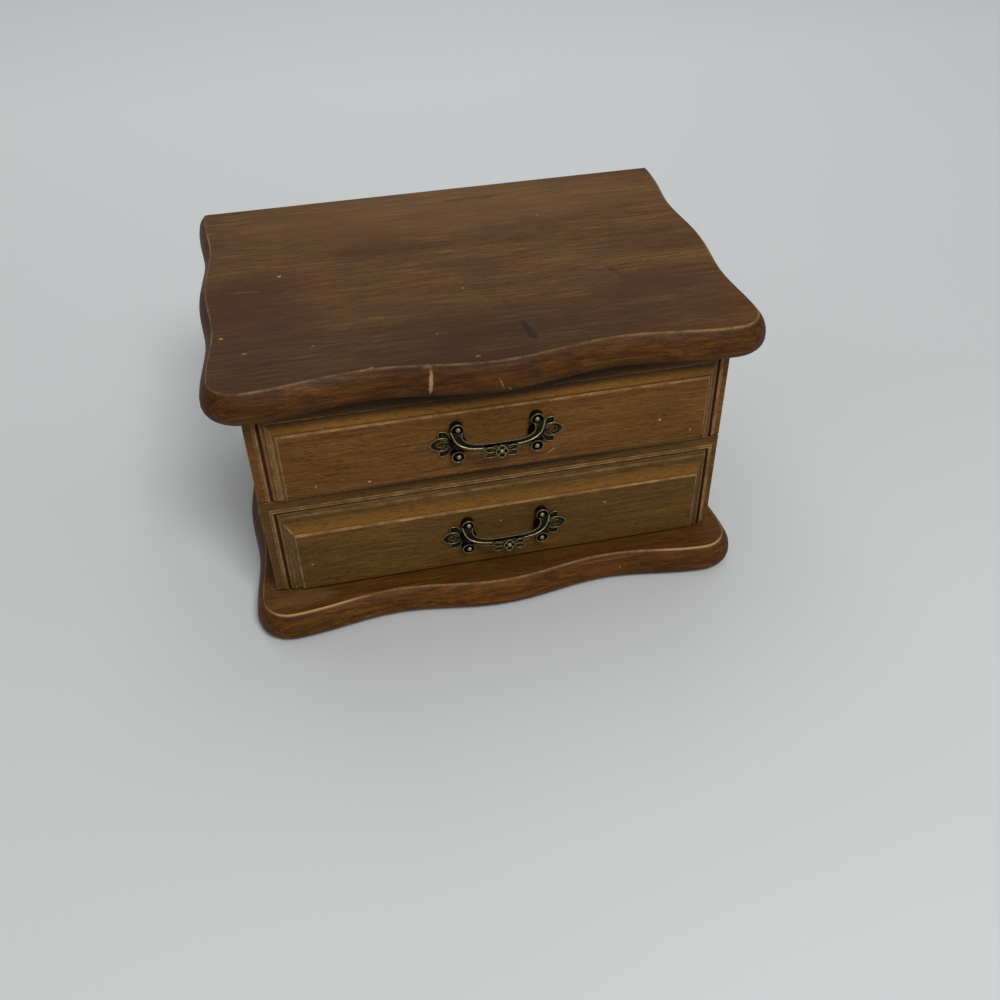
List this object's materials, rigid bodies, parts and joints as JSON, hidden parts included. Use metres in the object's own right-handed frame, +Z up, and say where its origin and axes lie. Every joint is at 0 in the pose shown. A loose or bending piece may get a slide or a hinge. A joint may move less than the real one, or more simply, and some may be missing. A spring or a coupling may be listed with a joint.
{
  "type": "vanity box with mirror",
  "caption": "Dark wooden table-top vanity box with a hinged serpentine lid, a mirror inside it, a lined compartment and a drawer under it with cast leaf-scroll pulls.",
  "frame": {"origin": "middle of the rest surface, under the middle of the base board", "axes": "+Z up, -Y towards the user (the fronts with their pulls), +X to the user's right"},
  "size_m": [0.2264, 0.1626, 0.1283],
  "materials": {
    "board_wood": "dark stained hardwood under worn varnish",
    "front_wood": "brown stained hardwood under worn varnish",
    "case_wood": "brown stained hardwood, thin varnish",
    "drawer_wood": "unvarnished light hardwood",
    "felt": "dark green felt",
    "velvet": "dark red velvet",
    "antique_brass": "cast, blackened in the hollows and rubbed bright on the relief",
    "hinge_brass": "plain brass, slightly tarnished",
    "screw_steel": "plain zinc-plated steel",
    "mirror": "silvered plate glass",
    "card": "grey-brown card"
  },
  "bodies": {
    "case": {"base_board": "board_wood", "base_felt": "felt", "base_screws": "screw_steel", "side_wall_left": "case_wood", "side_wall_right": "case_wood", "back_wall": "case_wood", "compartment_floor": "case_wood", "compartment_lining": "velvet", "compartment_divider": "case_wood", "drawer_runners": "drawer_wood", "false_front": "front_wood", "upper_pull": "antique_brass", "upper_pull_screws": "screw_steel", "hinge_case_leaves": "hinge_brass", "hinge_pins": "hinge_brass", "hinge_case_screws": "hinge_brass"},
    "drawer": {"drawer_front": "front_wood", "drawer_side_left": "drawer_wood", "drawer_side_right": "drawer_wood", "drawer_back": "drawer_wood", "drawer_bottom": "drawer_wood", "drawer_lining": "velvet", "lower_pull": "antique_brass", "lower_pull_screws": "screw_steel"},
    "lid": {"lid_board": "board_wood", "mirror_card": "card", "mirror_glass": "mirror", "mirror_strips": "case_wood", "hinge_lid_leaves": "hinge_brass", "hinge_lid_screws": "hinge_brass"}
  },
  "joints": [
    {"name": "lid_hinge", "type": "hinge", "parent": "case", "child": "lid", "pos_m": [0, 0.07627, 0.1146], "axis": [-1, 0, 0], "range_deg": [0, 110]},
    {"name": "drawer_slide", "type": "slide", "parent": "case", "child": "drawer", "axis": [0, -1, 0], "range_m": [0, 0.09]}
  ]
}
